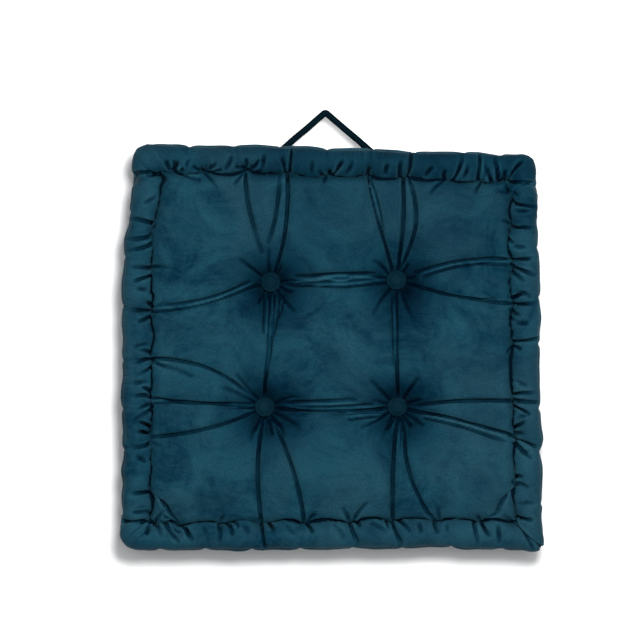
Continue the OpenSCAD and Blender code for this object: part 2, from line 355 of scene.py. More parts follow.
class Cloth:
    """A grid of velvet that keeps its cut length, is pushed out by its filling and held by its stitches."""

    # Step to the neighbour, and how firmly the pair resists being stretched and being squeezed
    FAMILIES = (
        ((1, 0), 1.0, 0.5), ((0, 1), 1.0, 0.5), ((1, 1), 0.5, 0.2), ((1, -1), 0.5, 0.2),
        ((2, 0), 0.0, 0.3), ((0, 2), 0.0, 0.3), ((4, 0), 0.0, 0.08), ((0, 4), 0.0, 0.08),
    )

    def __init__(self, base, outward, ease, start):
        self.base = base.astype(np.float32)
        self.place = self.base.copy() if start is None else start.astype(np.float32)
        self.speed = np.zeros_like(self.place)
        self.outward = np.float32(outward)
        self.normal = grid_normals(self.base) * self.outward
        shape = base.shape[:2]
        self.draw = np.zeros(shape, np.float32)        # how firmly a fold is drawn in
        self.depth = np.zeros(shape, np.float32)       # and how deep
        self.swell = np.full(shape, 6.0, np.float32)   # how far the filling can push
        self.pins = np.zeros(shape, bool)
        self.pinned = self.base.copy()
        self.sharp = None                              # fine creases, added at the end
        self.springs = []
        for step, pull, push in self.FAMILIES:
            self.add_springs(step, pull, push, ease)

    def add_springs(self, step, pull, push, ease):
        """Splits one family of springs into sets in which no point is used twice."""
        di, dj = step
        n, m = self.base.shape[:2]
        share = di * di / (di * di + dj * dj)
        fullness = ease[0] * share + ease[1] * (1 - share)
        span = di or dj
        for first in range(2 * span):
            if di:
                a = (slice(first, n - di, 2 * di), slice(max(0, -dj), m - max(0, dj)))
                b = (slice(first + di, n, 2 * di), slice(max(0, dj), m - max(0, -dj)))
            else:
                a = (slice(None), slice(first, m - dj, 2 * dj))
                b = (slice(None), slice(first + dj, m, 2 * dj))
            rest = np.linalg.norm(self.base[b] - self.base[a], axis=-1)
            rest = rest * (1 + (fullness[a] + fullness[b]) / 2)
            self.springs.append((a, b, rest.astype(np.float32), np.float32(pull), np.float32(push)))

    def settle(self):
        """Draws every pair of neighbours towards its cut length."""
        place = self.place
        for a, b, rest, pull, push in self.springs:
            d = place[b] - place[a]
            off = 1 - rest / (np.sqrt(np.einsum("ijk,ijk->ij", d, d)) + np.float32(1e-6))
            off *= np.where(off > 0, pull, push) * np.float32(0.5)
            d *= off[..., None]
            place[a] += d
            place[b] -= d

    def bulge(self):
        """How far each point has moved out from where it started."""
        return np.einsum("ijk,ijk->ij", self.place - self.base, self.normal)

    def step(self, pressure, drag):
        """Lets the filling push and the seams, folds and pins pull, once."""
        before = self.place.copy()
        self.place += self.speed * np.float32(drag)
        room = np.clip(1 - self.bulge() / self.swell, -1.5, 1) * np.float32(pressure)
        self.place += grid_normals(self.place) * (self.outward * room)[..., None]
        self.settle()
        off = (-self.depth - self.bulge()) * self.draw
        self.place += self.normal * off[..., None]
        self.place[self.pins] = self.pinned[self.pins]
        self.speed = self.place - before


# ---------- Folds ----------

def curve(start, end, bow):
    """Eighteen points from start to end, bowed to the left by a share of the length."""
    start, end = np.array(start, float), np.array(end, float)
    t = np.linspace(0, 1, 18)[:, None]
    side = np.array([start[1] - end[1], end[0] - start[0]])
    return start + (end - start) * t + side * bow * 4 * t * (1 - t)


def near(p, q, line, width):
    """The part of a grid near a line: its slices, each point's distance, and how far along it lies."""
    low = (np.searchsorted(p[:, 0], line[:, 0].min() - width), np.searchsorted(q[0], line[:, 1].min() - width))
    high = (np.searchsorted(p[:, 0], line[:, 0].max() + width), np.searchsorted(q[0], line[:, 1].max() + width))
    patch = (slice(low[0], high[0]), slice(low[1], high[1]))
    p, q = p[patch], q[patch]
    best, where = np.full(p.shape, 1e9), np.zeros(p.shape)
    for k in range(len(line) - 1):
        a, d = line[k], line[k + 1] - line[k]
        t = np.clip(((p - a[0]) * d[0] + (q - a[1]) * d[1]) / (d @ d), 0, 1)
        distance = np.hypot(p - a[0] - t * d[0], q - a[1] - t * d[1])
        where = np.where(distance < best, (k + t) / (len(line) - 1), where)
        best = np.minimum(best, distance)
    return patch, best, where


FULLNESS = 0.2             # the share of velvet that a fold takes up
CREASE_W = 1.7             # the width of a fold's pressed-in line, and of each ridge beside it
CREASE_DEPTH = 0.47        # their shares of the fold's depth
CREASE_RIDGE = 0.17


class Folds:
    """Folds drawn on a grid: where they pull, how deep, and how much more velvet they take up."""

    def __init__(self, p, q):
        self.p, self.q = p, q
        self.step = p[1, 0] - p[0, 0]
        self.strength = min(1, 1.5 / self.step)      # a coarse grid would widen a sharp fold
        self.draw, self.depth = np.zeros(p.shape), np.zeros(p.shape)
        self.ease = [np.zeros(p.shape), np.zeros(p.shape)]
        self.sharp = np.zeros(p.shape)               # each fold's pressed-in line and the ridges beside it
        self.uneven = np.clip(0.8 + 0.32 * ripples(p, q, 6, 30), 0.3, 1.3)

    def add(self, start, end, bow, depths, width=1.0):
        """Draws one fold, with its depths from end to end."""
        line = curve(start, end, bow)
        patch, distance, where = near(self.p, self.q, line, 14)
        if not distance.size:
            return
        depth = np.interp(where, np.linspace(0, 1, len(depths)), depths) * self.strength * self.uneven[patch]
        width = max(width, self.step * 0.9)
        pull = 0.6 * bell(distance, width) * np.minimum(depth / 1.5, 1)
        deeper = pull > self.draw[patch]
        self.depth[patch] = np.where(deeper, depth * DRAWN, self.depth[patch])
        self.draw[patch] = np.maximum(self.draw[patch], pull)
        ridge, line_in = bell(distance - RIDGE_AT, CREASE_W), bell(distance, CREASE_W)
        self.sharp[patch] += depth * (CREASE_RIDGE * ridge - CREASE_DEPTH * line_in)
        run = unit(np.array(end, float) - np.array(start, float))
        extra = FULLNESS * bell(distance, 4.5) * np.minimum(depth / 4, 1.3)
        for axis in (0, 1):
            across = run[1 - axis] ** 2
            self.ease[axis][patch] = np.maximum(self.ease[axis][patch], extra * across)


def between(a, b, t):
    """Part of the way from a to b."""
    return a + (b - a) * t


# The long folds of a panel: where each starts and ends, at or beside a button or a stitch or part of the way
# between two, with its bow, its depths from end to end, and its width where it isn't 1
FOLDS = (
    # from the upper buttons to the back edge
    ("b1", "back3", -0.07, (2, 3.5, 5, 6)),
    (("b1", -3, 40), ("back3", -7, -4), -0.05, (0, 3, 2, 0)),
    (("b1", -8, 30), "back2", 0.05, (0, 2.5, 2.5, 4)),
    ("b2", "back5", 0.03, (2, 4.5, 5, 6)),
    (("b2", -12, 40), ("back5", 5, -4), 0.0, (0, 3, 2)),
    ("b2", "back6", -0.02, (2, 4, 4.5, 6)),
    (("b2", 4, 14), ("back6", 5, -2), -0.12, (1, 4, 4, 2)),
    # sideways from the upper buttons
    (("b1", -14, -3), "left5", 0.06, (1, 4, 4.5, 5)),
    (("b1", -20, 1), ("left5", 12, 6), 0.06, (0, 5, 5, 2)),
    (("b2", 16, 6), "right2", 0.07, (0, 4, 5, 5)),
    (("b2", 26, 3), ("right2", -4, -6), 0.075, (0, 5, 5.5, 2)),
    (("b2", 10, -3), "right3", -0.05, (1, 4.5, 5, 5)),
    (("b2", 34, -13), ("right3", -16, 5), -0.05, (0, 4.5, 4, 0)),
    # between the upper buttons: small pleats that spread and close again
    (("b1", 24, 6), ("b2", -20, 6), 0.012, (0, 4, 6.5, 6.5, 5, 0)),
    (("b1", 58, 2), ("b2", -44, 1.5), 0.0, (0, 5, 5, 0)),
    (("b1", 24, -1), ("b2", -20, 0), -0.024, (0, 4, 5, 4.5, 3, 0)),
    (("b1", 14, -1), ("b2", -16, -3), -0.055, (0, 6, 7, 7, 5, 0)),
    # down from the upper buttons to the lower ones
    (("b1", -1, -12), ("b3", 0, 12), 0.02, (4.5, 4, 3, 3.2, 4.5)),
    (("b1", -5, -13), (("b1", "b3", 0.42), -5 * 0.7, 0), 0.01, (2, 4, 3, 0)),
    (("b1", 4, -13), (("b1", "b3", 0.7), 4 * 0.7, 0), 0.01, (2, 4.5, 4, 0)),
    (("b1", 8.5, -13), (("b1", "b3", 0.48), 8.5 * 0.7, 0), 0.01, (1, 4, 3, 0)),
    (("b1", 13, -13), (("b1", "b3", 0.34), 13 * 0.7, 0), 0.01, (0, 3, 0)),
    (("b2", 0, -12), ("b4", 0, 12), -0.01, (4.5, 3.5, 3.2, 3.5, 4.5)),
    (("b2", -4, -16), (("b2", "b4", 0.7), -3, 0), -0.01, (0, 3, 3, 0)),
    # between the lower buttons: one deep fold and its tucks
    (("b3", 12, -1), ("b4", -12, -1), -0.02, (3, 6.5, 7, 6.5, 4), 1.3),
    (("b3", 26, 3), ("b4", -22, 4), -0.028, (0, 4.5, 4.5, 4, 0)),
    (("b3", 14, 6), ("b4", -40, 9), 0.0, (0, 3, 2.5, 0)),
    ((("b3", "b4", 0.5), 0, -8), ("b4", -12, -5), 0.02, (0, 5, 5, 0)),
    ((("b3", "b4", 0.62), 0, -13), ("b4", -14, -9), 0.03, (0, 4, 3, 0)),
    # sideways from the lower buttons
    (("b3", -12, 4), ("left3", 0, 4), 0.02, (1, 4.5, 4.5, 5)),
    (("b3", -12, -1), ("left3", 2, -2), -0.03, (1, 5, 4.5, 5)),
    (("b3", -12, -6), "left2", 0.06, (0, 3.5, 4, 5)),
    (("b3", -10, 10), "left4", -0.12, (0, 3, 3.5, 5)),
    ("left4", ("left4", 46, -18), 0.0, (5, 3, 0)),
    (("b4", 14, 2), "right5", 0.04, (0, 4, 4, 5)),
    (("b4", 12, -3), "right6", 0.02, (2, 6, 6.5, 7), 1.3),
    (("b4", 24, -11), ("right6", -14, -5), 0.02, (0, 5, 4, 0)),
    # down from the lower buttons to the front edge
    (("b3", -1, -12), "front6", -0.04, (2, 4, 4.5, 5)),
    (("b3", 8, -14), "front5", 0.06, (0, 3, 3.5, 4)),
    (("b4", 0, -14), "front3", -0.04, (2, 4, 4, 5)),
    (("b4", 6, -14), "front2", -0.09, (0, 4, 4.5, 5)),
    (("b3", -9 * 0.4, -12), ("b3", -9, -26), 0.0, (3, 3, 0)),
    (("b4", -9 * 0.4, -12), ("b4", -12, -26), 0.0, (3, 3, 0)),
    (("b3", 9 * 0.4, -12), ("b3", 9, -30), 0.0, (3, 3, 0)),
    (("b4", 9 * 0.4, -12), ("b4", 6, -30), 0.0, (3, 3, 0)),
    (("b3", 17 * 0.4, -12), ("b3", 17, -20), 0.0, (3, 3, 0)),
    (("b4", 17 * 0.4, -12), ("b4", 14, -20), 0.0, (3, 3, 0)),
    # across the corners
    ("left1", ("front8", -2, 6), 0.1, (5, 4, 2)),
    ("right7", ("front1", 10, 8), -0.08, (4, 3, 1)),
    (("right0", -8, 14), "right1", 0.1, (3, 5, 5)),
    ("back0", ("back1", -4, -12), -0.05, (5, 4, 1)),
    ("front4", ("front4", 16, 24), 0.05, (3, 1.5, 0)),
)


def panel_folds(folds):
    """Draws the long folds, then those in the rolls' corners."""
    spots = {"b" + str(k + 1): flat_place(*place) for k, place in enumerate(BUTTONS)}
    for side, places in STITCHES.items():
        spots.update((side + str(k), stitch_place(side, place)) for k, place in enumerate(places))

    def spot(place):
        """A place in the table, on the flat velvet."""
        name, dx, dy = place if isinstance(place, tuple) else (place, 0, 0)
        if isinstance(name, tuple):
            return between(spots[name[0]], spots[name[1]], name[2]) + (dx, dy)
        return spots[name] + (dx, dy)

    for start, end, *shape in FOLDS:
        folds.add(spot(start), spot(end), *shape)
    # the back roll runs to the cushion's sides, and the side rolls end against it
    groove = REACH - GROOVE_AT
    for sign in (-1, 1):
        folds.add((sign * groove, groove), (sign * REACH, groove), 0.0, (9, 7, 6), 1.8)
    folds.add((-groove, -groove), (-REACH, -groove), 0.0, (8, 6, 4), 1.8)
    folds.add((groove, -groove), (REACH, -REACH), 0.0, (8, 6, 4), 1.8)


# How the gathers of the stitches fan out over each roll, in degrees, and their lean
STAR = (-62, -36, -12, 10, 34, 60)
GATHERS = {
    "back": (STAR, STAR, STAR, (-4, 16), (-18, 2, 22), (-3,), (-12, 8), (-20, 4), (6,), (-24, -6, 12, 30)),
    "right": ((-8,), (-30, 10), (-26, -8, 12), (-34, -14, 6, 28), (-6, 16), (-22, 0, 20), (-30, -12, 8, 30),
              (-10, 14), (4,)),
    "front": ((6,), (-16, 8), (-4,), (-20, -2, 18), (-8, 12), (2,), (-14, 6), (-22, 0, 20), (-6,), (-30, -8, 16)),
    "left": ((-12, 16), (8,), (-26, -6, 16), (-30, -10, 12, 32), (-20, 4, 26), (-28, -8, 14), (-6, 18),
             (-24, 0, 24), (-4,)),
}
LEAN = {"back": -4, "right": -10, "front": 26, "left": 4}
OUTWARD = {"back": 90, "right": 0, "front": -90, "left": 180}


def ray_at(degrees):
    """A direction on the flat velvet."""
    return np.array([math.cos(math.radians(degrees)), math.sin(math.radians(degrees))])


def small_folds(folds, rng):
    """The short creases round each button and from each stitch."""
    for x, y in BUTTONS:
        centre = flat_place(x, y)
        turn = rng.uniform(0, 30)
        while turn < 360:
            ray = ray_at(turn)
            length = rng.uniform(20, 50)
            folds.add(centre + ray * 10, centre + ray * length, rng.uniform(-0.08, 0.08),
                      (rng.uniform(0.5, 1.7), rng.uniform(0.4, 1.2), 0))
            turn += rng.uniform(24, 56)
    for side, places in STITCHES.items():
        for k, (place, fan) in enumerate(zip(places, GATHERS[side])):
            start = stitch_place(side, place)
            star = fan is STAR
            for turn in fan:
                ray = ray_at(OUTWARD[side] + LEAN[side] + turn + rng.uniform(-6, 6))
                run = np.array([ray[1], -ray[0]]) * -turn * (0.0 if star else 0.22)
                depth = rng.uniform(5.5, 11.0) * (1 - abs(turn) / 160)
                length = rng.uniform(12, 21) if star else rng.uniform(14, 36)
                folds.add(start + run + ray * (2 if star else 0), start + run + ray * length,
                          rng.uniform(-0.1, 0.1), (depth * 0.9, depth, depth * 0.55, 0))
            ray = ray_at(OUTWARD[side] + 180 + rng.uniform(-55, 55))
            folds.add(start, start + ray * rng.uniform(8, 26), rng.uniform(-0.1, 0.1), (rng.uniform(2.5, 4), 2, 0))
            if k + 1 < len(places):
                middle = stitch_place(side, between(place, places[k + 1], rng.uniform(0.3, 0.7)), 7)
                ray = ray_at(OUTWARD[side] + LEAN[side] + rng.uniform(-35, 35))
                folds.add(middle, middle + ray * rng.uniform(10, 20), rng.uniform(-0.1, 0.1), (0, rng.uniform(1, 4), 0))


WAVES = 16                 # added up in a patch of unevenness


def ripples(p, q, seed, size):
    """Smooth unevenness of about the given size."""
    rng = np.random.default_rng(seed)
    total = np.zeros(np.broadcast(p, q).shape)
    for _ in range(WAVES):
        turn, wave = rng.uniform(0, math.tau), math.tau / (size * rng.uniform(0.7, 1.6))
        total += np.cos(wave * (p * math.cos(turn) + q * math.sin(turn)) + rng.uniform(0, math.tau))
    return total / math.sqrt(WAVES)


# ---------- The sewn casing ----------

SPARE = 0.028, 0.022, 0.1  # the share of velvet to spare: on average, how it varies, and at most
BOXING_SPARE = 0.015, 0.012, 0.05
SHARPEST = (-5.0, 1.6)     # the most that a crease goes in, and stands out
PIN_SHARPEST = -1.5        # beside an edge stitch
PIN_DEPTH = 4.0            # how far below the groove an edge stitch holds the velvet
ROLL_SWELL = 3.0           # how far the filling can push the velvet out
PANEL_SWELL = 4.5
UNDERSIDE_SWELL = 2.5
SEAM_HOLD = 0.4            # how firmly a seam keeps its line


def panel_cloth(n, outward, start):
    """A panel's velvet: its fullness, folds, seams and pins."""
    top = outward > 0
    crown = CROWN if top else 0.0
    base = base_panel(n, crown)
    if not top:
        base[..., 2] = EDGE_H - base[..., 2]
    p, q = flat_grid(n)
    distance = flat_distance(n)
    folds = Folds(p, q)
    panel_folds(folds)
    small_folds(folds, np.random.default_rng(11 if top else 12))
    spare, varies, most = SPARE
    uneven = np.clip(spare + varies * ripples(p, q, 3 if top else 4, 46), 0, most)
    near_seam = 0.11 * bell(distance, 12) + 0.05 * bell(distance - GROOVE_AT, 16)
    ends = np.abs(q) >= np.abs(p)
    ease = [
        uneven + folds.ease[0] + np.where(ends, near_seam, 0),
        uneven + folds.ease[1] + np.where(ends, 0, near_seam),
    ]
    cloth = Cloth(base, outward, ease, start)
    cloth.draw[:], cloth.depth[:] = folds.draw, folds.depth
    cloth.sharp = np.clip(folds.sharp - GROOVE_LINE * bell(distance - GROOVE_AT, 1.9), *SHARPEST)
    on_roll = distance < GROOVE_AT
    cloth.swell[:] = np.where(on_roll, ROLL_SWELL, np.minimum(2.5 + (distance - GROOVE_AT) * 0.06, PANEL_SWELL))
    if not top:
        cloth.swell[:] = np.minimum(cloth.swell, UNDERSIDE_SWELL)
    in_groove = bell(distance - GROOVE_AT, 2.5) * 0.3
    cloth.draw = np.maximum(cloth.draw, in_groove).astype(np.float32)
    for line in (np.s_[0], np.s_[-1], np.s_[:, 0], np.s_[:, -1]):
        cloth.draw[line] = cloth.depth[line] = SEAM_HOLD
    for bx, by in BUTTONS:
        under_button = np.hypot(base[..., 0] - bx, base[..., 1] - by) < BUTTON_R
        cloth.pins |= under_button
        cloth.sharp[under_button] = 0
    for side, places in STITCHES.items():
        for place in places:
            i, j = grid_lines(n, side, place)
            cloth.pins[i, j] = True
            cloth.pinned[i, j, 2] = base[i, j, 2] - outward * PIN_DEPTH
            round_pin = (slice(i - 1, i + 2), slice(j - 1, j + 2))
            cloth.sharp[round_pin] = np.maximum(cloth.sharp[round_pin], PIN_SHARPEST)
    return cloth


TABS_X = -7.0              # the middle of the handle, and how far to each side its tabs reach
TABS = (39.0, 86.0)


def boxing_cloth(n, rows, start):
    """The boxing's velvet, gathered at its stitches and flat behind the handle's tabs."""
    base = base_boxing(n, rows)
    distance = np.linspace(0, boxing_section()[0][-1], rows)
    to_edge = np.minimum(distance, distance[-1] - distance)
    loop = np.linspace(0, 8 * REACH, 4 * (n - 1) + 1)[:, None]
    turn = flat_edge(n)
    pinch = 1 - stitch_phase(turn[:, :1], turn[:, 1:])
    gathers = 0.09 * bell(to_edge, 9) + 0.04 * bell(to_edge - UNDER_AT, 6) * pinch
    spare, varies, most = BOXING_SPARE
    uneven = np.clip(spare + varies * ripples(loop, distance[None, :], 5, 40), 0, most)
    cloth = Cloth(base, -1, [uneven + gathers, uneven], start)
    cloth.swell[:] = np.where(to_edge < UNDER_AT, 1.8, 1.0)
    fold = bell(to_edge - UNDER_AT, 2.5)
    cloth.draw[:] = np.maximum(0.4 * fold, 0.45 * pinch ** 4 * bell(to_edge - UNDER_AT + 7, 9))
    cloth.depth[:] = np.where(fold > 0.5, 0.4, 2.6 * pinch ** 2)
    for row in (0, -1):
        cloth.draw[:, row] = cloth.depth[:, row] = SEAM_HOLD
    x, y, z = np.moveaxis(base, -1, 0)
    across = np.abs(x - TABS_X)
    behind_tabs = (y > HALF_D - 22) & (np.abs(z - EDGE_H / 2) < 11) & (across > TABS[0]) & (across < TABS[1])
    cloth.draw[behind_tabs], cloth.depth[behind_tabs] = 0.8, 0.3
    return cloth


def sew(top, boxing, bottom):
    """Both sides of each seam share its line."""
    for panel, row in ((top, 0), (bottom, -1)):
        line = (border(panel.place) + boxing.place[:, row]) / 2
        line[0] = line[-1] = (line[0] + line[-1]) / 2
        set_border(panel.place, line[:-1])
        boxing.place[:, row] = line
    ends = (boxing.place[0] + boxing.place[-1]) / 2
    boxing.place[0] = boxing.place[-1] = ends


# How the cushion lies, for it isn't sewn square. Each number is in millimetres.
WANDER = 1.0, 0.6                        # how far its sides wander, in long and in short waves
RIGHT_DRAWN, LEFT_DRAWN = 6.5, 10.5      # how far its back corners draw in
RIGHT_NOTCH, LEFT_NOTCH = 3.0, 4.5       # the notch below each end of the back roll
NOTCH_Y = 168.0
BACK_SLOPE = 9.5                         # how much further in its back edge lies on the right
BACK_BOW, FRONT_BOW = 3.2, 2.8           # how far its back and front edges bow out


def lie(points):
    """Moves points as the hand-sewn cushion lies: back corners drawn in, sides wandering a little."""
    x, y, z = np.moveaxis(np.asarray(points, float), -1, 0)
    right, left = eased(x, 110, 185), eased(-x, 110, 185)
    back, front = eased(y, 100, 175), eased(-y, 110, 185)
    up = np.clip((y + 190) / 380, 0, 1)
    wander = WANDER[0] * ripples(x, y, 41, 70) + WANDER[1] * ripples(x, y, 42, 26)
    notch = bell(y - NOTCH_Y, 5) * eased(z, EDGE_H / 2, EDGE_H - 20)
    dx = right * (1.0 - RIGHT_DRAWN * up + wander - RIGHT_NOTCH * notch)
    dx = dx + left * (-1.5 + 2.5 * up + LEFT_DRAWN * eased(y, 90, 195) - wander + LEFT_NOTCH * notch)
    on_rolls = eased(np.abs(z - EDGE_H / 2), 12, 20)
    clear_of_handle = np.maximum(eased(x, 82, 150), eased(-x, 96, 150))
    slope = 0.5 - BACK_SLOPE * np.clip((x + 200) / 400, 0, 1) + BACK_BOW * bell(x + 50, 120)
    bow = 0.5 - 0.7 * wander + FRONT_BOW * bell(x - 85, 85)
    dy = back * (slope + 0.6 * wander) * np.maximum(on_rolls, clear_of_handle) + front * bow
    return np.stack([x + dx, y + dy, z], axis=-1)


def crease(cloth):
    """The simulated velvet, with its folds pressed sharper than the grid can bend."""
    place = cloth.place.astype(float)
    if cloth.sharp is None:
        return place
    return place + grid_normals(place) * (cloth.outward * cloth.sharp)[..., None]


PRESSURE = 0.3             # of the filling, at the coarsest level of detail
DRAG = 0.85


def fill_casing():
    """Sews the casing at each level of detail in turn and lets the filling push it out."""
    places = [None, None, None]
    levels = LEVELS
    for n, rows, steps in levels:
        cloths = [panel_cloth(n, 1, places[0]), boxing_cloth(n, rows, places[1]), panel_cloth(n, -1, places[2])]
        for _ in range(steps):
            for cloth in cloths:
                cloth.step(PRESSURE * 75 / (n - 1) + 0.05, DRAG)
            np.maximum(cloths[2].place[..., 2], 0, out=cloths[2].place[..., 2])
            sew(*cloths)
        places = [finer(cloth.place) for cloth in cloths]
    return [crease(cloth) for cloth in cloths]


top_grid, boxing_grid, bottom_grid = (lie(grid) for grid in fill_casing())


# ---------- Meshes ----------

def mesh_object(name, points, faces):
    """A smooth-shaded object from points in millimetres and four-sided faces."""
    mesh = bpy.data.meshes.new(name)
    mesh.vertices.add(len(points))
    mesh.vertices.foreach_set("co", (np.asarray(points) / MM).astype(np.float32).ravel())
    faces = np.asarray(faces, np.int32)
    mesh.loops.add(faces.size)
    mesh.loops.foreach_set("vertex_index", faces.ravel())
    mesh.polygons.add(len(faces))
    mesh.polygons.foreach_set("loop_start", np.arange(0, faces.size, 4, dtype=np.int32))
    mesh.update(calc_edges=True)
    mesh.polygons.foreach_set("use_smooth", np.ones(len(faces), bool))
    thing = bpy.data.objects.new(name, mesh)
    bpy.context.scene.collection.objects.link(thing)
    return thing


def part(grid, closed_n=False, closed_m=False, flip=False):
    """A grid of points as a mesh's part: whether it closes along each axis, and which side is out."""
    n, m = grid.shape[:2]
    i = np.arange(n if closed_n else n - 1)[:, None]
    j = np.arange(m if closed_m else m - 1)[None, :]
    after_i, after_j = (i + 1) % n, (j + 1) % m
    faces = np.stack([i * m + j, after_i * m + j, after_i * m + after_j, i * m + after_j], axis=-1).reshape(-1, 4)
    return grid.reshape(-1, 3), faces[:, ::-1] if flip else faces


def joined(name, parts):
    """One mesh object from several parts."""
    starts = np.cumsum([0] + [len(points) for points, _ in parts])
    faces = [faces + start for (_, faces), start in zip(parts, starts)]
    return mesh_object(name, np.concatenate([points for points, _ in parts]), np.concatenate(faces))


def tube(line, radius, sides):
    """Rings of points round a line."""
    line = np.asarray(line, float)
    run = unit(np.gradient(line, axis=0))
    side = unit(np.cross(run, np.where(np.abs(run[:, 2:]) > 0.8, [[1.0, 0, 0]], [[0, 0, 1.0]])))
    up = np.cross(side, run)
    turn = np.linspace(0, math.tau, sides, endpoint=False)
    ring = np.cos(turn)[None, :, None] * side[:, None] + np.sin(turn)[None, :, None] * up[:, None]
    return line[:, None] + ring * np.reshape(radius, (-1, 1, 1))


# ---------- The velvet casing ----------

PAINTED_LIGHT = "painted_light"              # painted light at each point: 0 painted shade deep in a fold, 1 painted highlight on a ridge
FOLD_REACH = 5.0           # the width over which a fold's depth is judged
RELIEF = 0.33              # how much a millimetre of depth or height counts, down to RIDGE and up to FOLD
RIDGE, FOLD = -0.22, 0.32
BUTTON_SHADE = 0.58             # painted shade round each button, most of all towards the front right
BUTTON_SHADE_W = 33.0
BUTTON_SHADE_AT = (4.0, -7.0)
IN_GROOVE = (0.32, 3.2), (0.08, 13)   # painted shade: how much darker it is in the groove, over which width
BACK_ROLL_SHADE = 0.16      # painted shade: the back roll, and the panel before it, darker where they face up
BACK_PANEL_SHADE = 0.085


def neighbours(values, axis, reach, mode="edge"):
    """Copies of a grid, each moved by one more line along an axis, from -reach to reach."""
    sides = [(reach, reach) if k == axis else (0, 0) for k in range(values.ndim)]
    padded = np.pad(values, sides, mode=mode)
    return [np.take(padded, np.arange(values.shape[axis]) + k, axis=axis) for k in range(2 * reach + 1)]


def blurred(grid, reach, modes):
    """The grid averaged over a few lines each way."""
    for axis, mode in enumerate(modes):
        grid = sum(neighbours(grid, axis, reach, mode)) / (2 * reach + 1)
    return grid


def lay_painted_light(thing, grid, outward, modes=("edge", "edge"), pressed=True):
    """Gives a velvet mesh its painted light: painted shade deep in a fold, painted highlight high on a ridge.

    A panel's also gets painted shade along its grooves, round its buttons and on its back roll.
    """
    middle = grid.shape[1] // 2
    reach = max(1, round(FOLD_REACH / np.linalg.norm(grid[1, middle] - grid[0, middle]) / 2))
    depth = np.einsum("ijk,ijk->ij", blurred(grid, reach, modes) - grid, grid_normals(grid)) * outward
    # painted shade where a point lies deep in a fold, painted highlight where it stands high on a ridge
    painted_light = 0.5 - np.clip(depth * RELIEF, RIDGE, FOLD)
    # on panels only: painted shade along the grooves, round the buttons and on the back roll where it faces up
    if pressed:
        to_groove = flat_distance(len(grid)) - GROOVE_AT
        painted_light -= sum(dark * bell(to_groove, width) for dark, width in IN_GROOVE)
        x, y = grid[..., 0], grid[..., 1]
        for bx, by in BUTTONS:
            away = np.hypot(x - bx - BUTTON_SHADE_AT[0], y - by - BUTTON_SHADE_AT[1])
            painted_light -= BUTTON_SHADE * np.exp(-(away / BUTTON_SHADE_W) ** 1.7)
        upward = eased(grid_normals(grid)[..., 2], 0.15, 0.5)
        painted_light -= BACK_ROLL_SHADE * eased(y, 164, 176) * (0.45 + 0.55 * eased(x, -120, -30)) * upward
        painted_light -= BACK_PANEL_SHADE * eased(y, 50, 130) * eased(x, -120, -20) * upward
    values = thing.data.attributes.new(PAINTED_LIGHT, "FLOAT", "POINT")
    values.data.foreach_set("value", np.clip(painted_light, 0, 1).astype(np.float32).ravel())


fine = slice(None, None, 2) if len(bottom_grid) > 200 else slice(None)
velvet_top = joined("velvet_top", [part(top_grid)])
velvet_bottom = joined("velvet_bottom", [part(bottom_grid[fine, fine], flip=True)])
velvet_boxing = joined("velvet_boxing", [part(boxing_grid[:-1], closed_n=True, flip=True)])
lay_painted_light(velvet_top, top_grid, 1)
lay_painted_light(velvet_bottom, bottom_grid[fine, fine], -1)
lay_painted_light(velvet_boxing, boxing_grid[:-1], -1, ("wrap", "edge"), pressed=False)


# ---------- Fillings ----------

def lowest_near(values, reach):
    """Each value replaced by the lowest one within a few grid lines of it."""
    for axis in (0, 1):
        values = np.min(neighbours(values, axis, reach), axis=0)
    return values


def core_face(grid, outward):
    """The core's face: under every fold of the panel, inside the grooves."""
    stride = (len(grid) - 1) // 75
    height = lowest_near(grid[..., 2] * outward, stride) - FILLING_GAP
    face = np.concatenate([grid[..., :2], (height * outward)[..., None]], axis=-1)[::stride, ::stride]
    inside = int(GROOVE_AT / (2 * REACH / 75)) + 3
    return face[inside:-inside, inside:-inside]


CORE_RINGS = ((36, 50), (22, 46), (22, 34), (36, 30))    # round the core's side: in from the edge, and height

core_top, core_bottom = core_face(top_grid, 1), core_face(bottom_grid, -1)
turn = flat_edge(len(core_top))
core_sides = [border(core_top)]
for u, z in CORE_RINGS:
    x, y = round_corners(turn[:, 0] * (HALF_W - u), turn[:, 1] * (HALF_D - u), HALF_W - u, HALF_D - u, CORNER_R)
    core_sides.append(np.stack([x, y, np.full(x.shape, z)], axis=-1))
core_sides.append(border(core_bottom))
core_sides = np.array([core_sides[0], *map(lie, core_sides[1:-1]), core_sides[-1]])[:, :-1]


filling_core = joined("filling_core", [
    part(core_top), part(core_bottom, flip=True), part(core_sides, closed_m=True, flip=True),
])

ROLL_FILLING_R = 8.8       # at most, and less where the velvet is nearer than this and the gap
ROLL_FILLING_GAP = 2.4
CASING = np.concatenate([grid.reshape(-1, 3) for grid in (top_grid, boxing_grid, bottom_grid)])


def room_around(line, axis):
    """How far each point of a line along x or y is from the velvet."""
    near_line = CASING[np.abs(CASING[:, 1 - axis] - line[:, 1 - axis].mean()) < 30]
    near_line = near_line[np.argsort(near_line[:, axis])]
    room = []
    for point in line:
        low, high = np.searchsorted(near_line[:, axis], point[axis] + np.array([-20, 20]))
        room.append(np.linalg.norm(near_line[low:high] - point, axis=1).min())
    return np.array(room)


